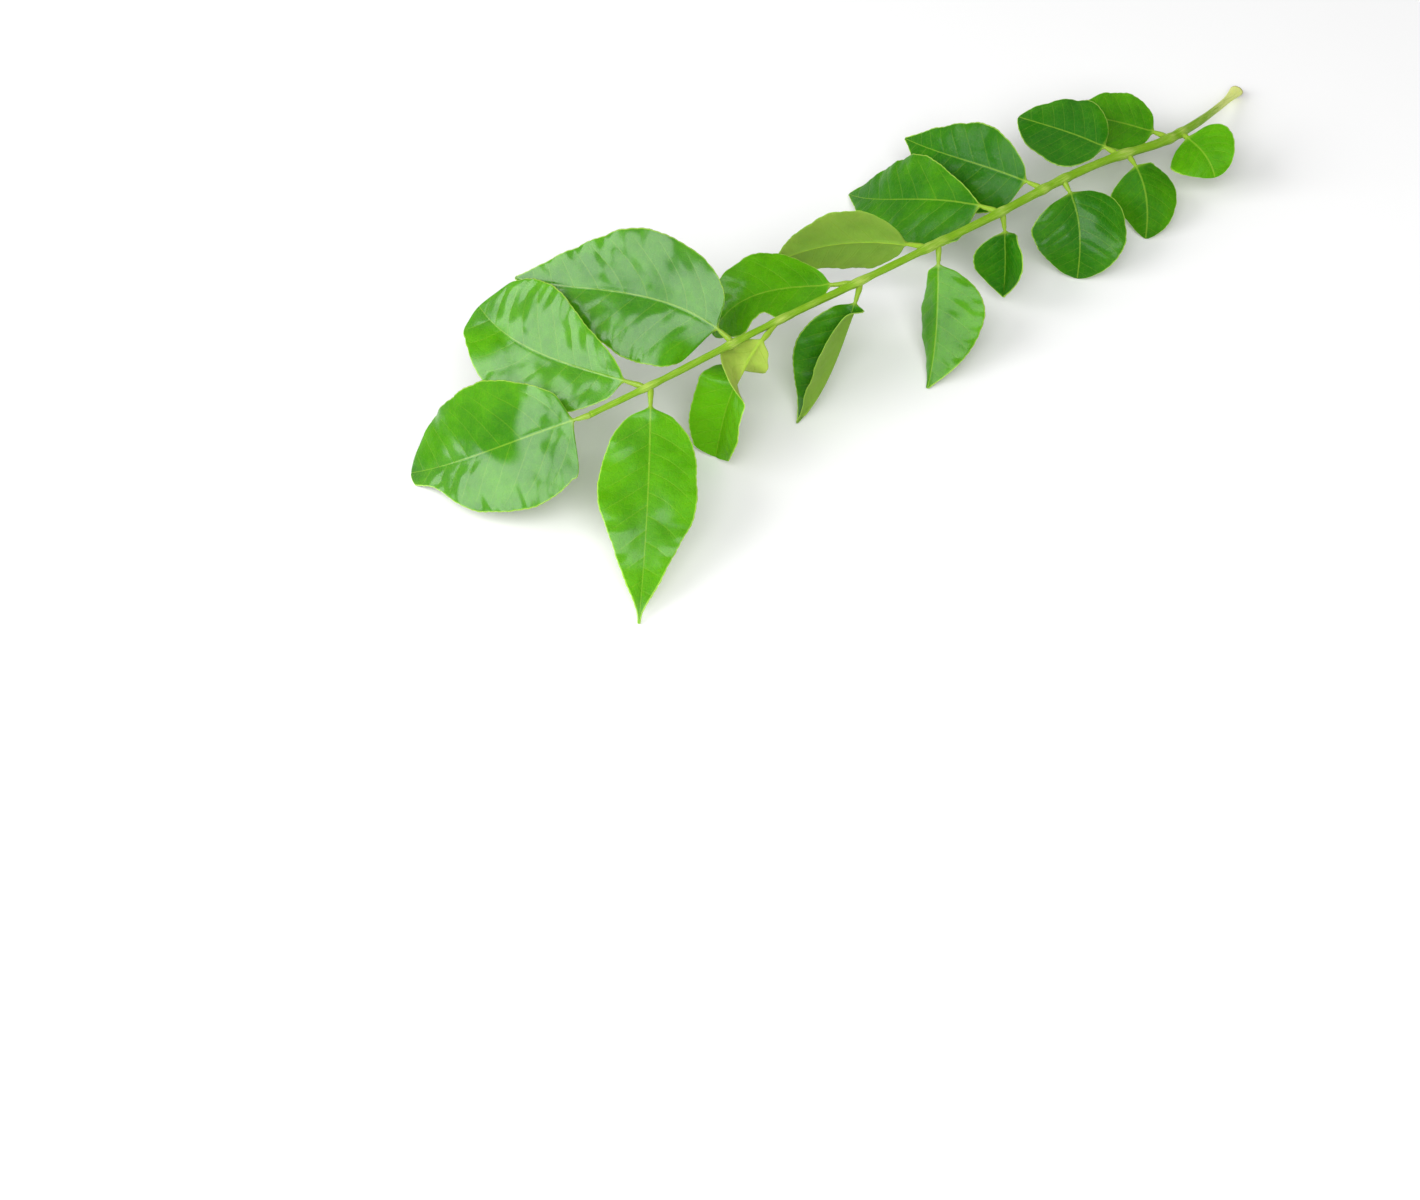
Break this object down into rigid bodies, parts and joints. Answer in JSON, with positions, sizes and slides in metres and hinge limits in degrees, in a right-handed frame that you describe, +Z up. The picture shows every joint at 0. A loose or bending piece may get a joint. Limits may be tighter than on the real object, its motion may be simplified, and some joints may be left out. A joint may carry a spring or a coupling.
{
  "type": "curry leaf sprig",
  "caption": "Picked sprig of curry leaves: an arched green stalk with a swollen foot, glossy pointed oval leaflets along both sides and one at its tip, lying on a surface.",
  "frame": {"origin": "middle of the sprig's footprint, on the surface it lies on", "axes": "+Z up; the stalk grows along -X, from its swollen foot at +X to the leaflet at its tip; the right-hand leaflets spread to +Y and the left-hand ones to -Y"},
  "size_m": [0.225, 0.083, 0.0393],
  "materials": {
    "stalk": "satin",
    "leaf": "satin",
    "young_leaf": "satin"
  },
  "bodies": {
    "root": {"stalk": "stalk", "leaflet_left_1": "leaf", "leaflet_left_2": "leaf", "leaflet_left_3": "leaf", "leaflet_left_4": "leaf", "leaflet_left_5": "leaf", "leaflet_left_6": "leaf", "leaflet_left_7": "young_leaf", "leaflet_left_8": "young_leaf", "leaflet_right_1": "leaf", "leaflet_right_2": "leaf", "leaflet_right_3": "leaf", "leaflet_right_4": "leaf", "leaflet_right_5": "leaf", "leaflet_right_6": "leaf", "leaflet_right_7": "young_leaf", "leaflet_right_8": "young_leaf", "leaflet_terminal": "young_leaf"}
  },
  "joints": []
}
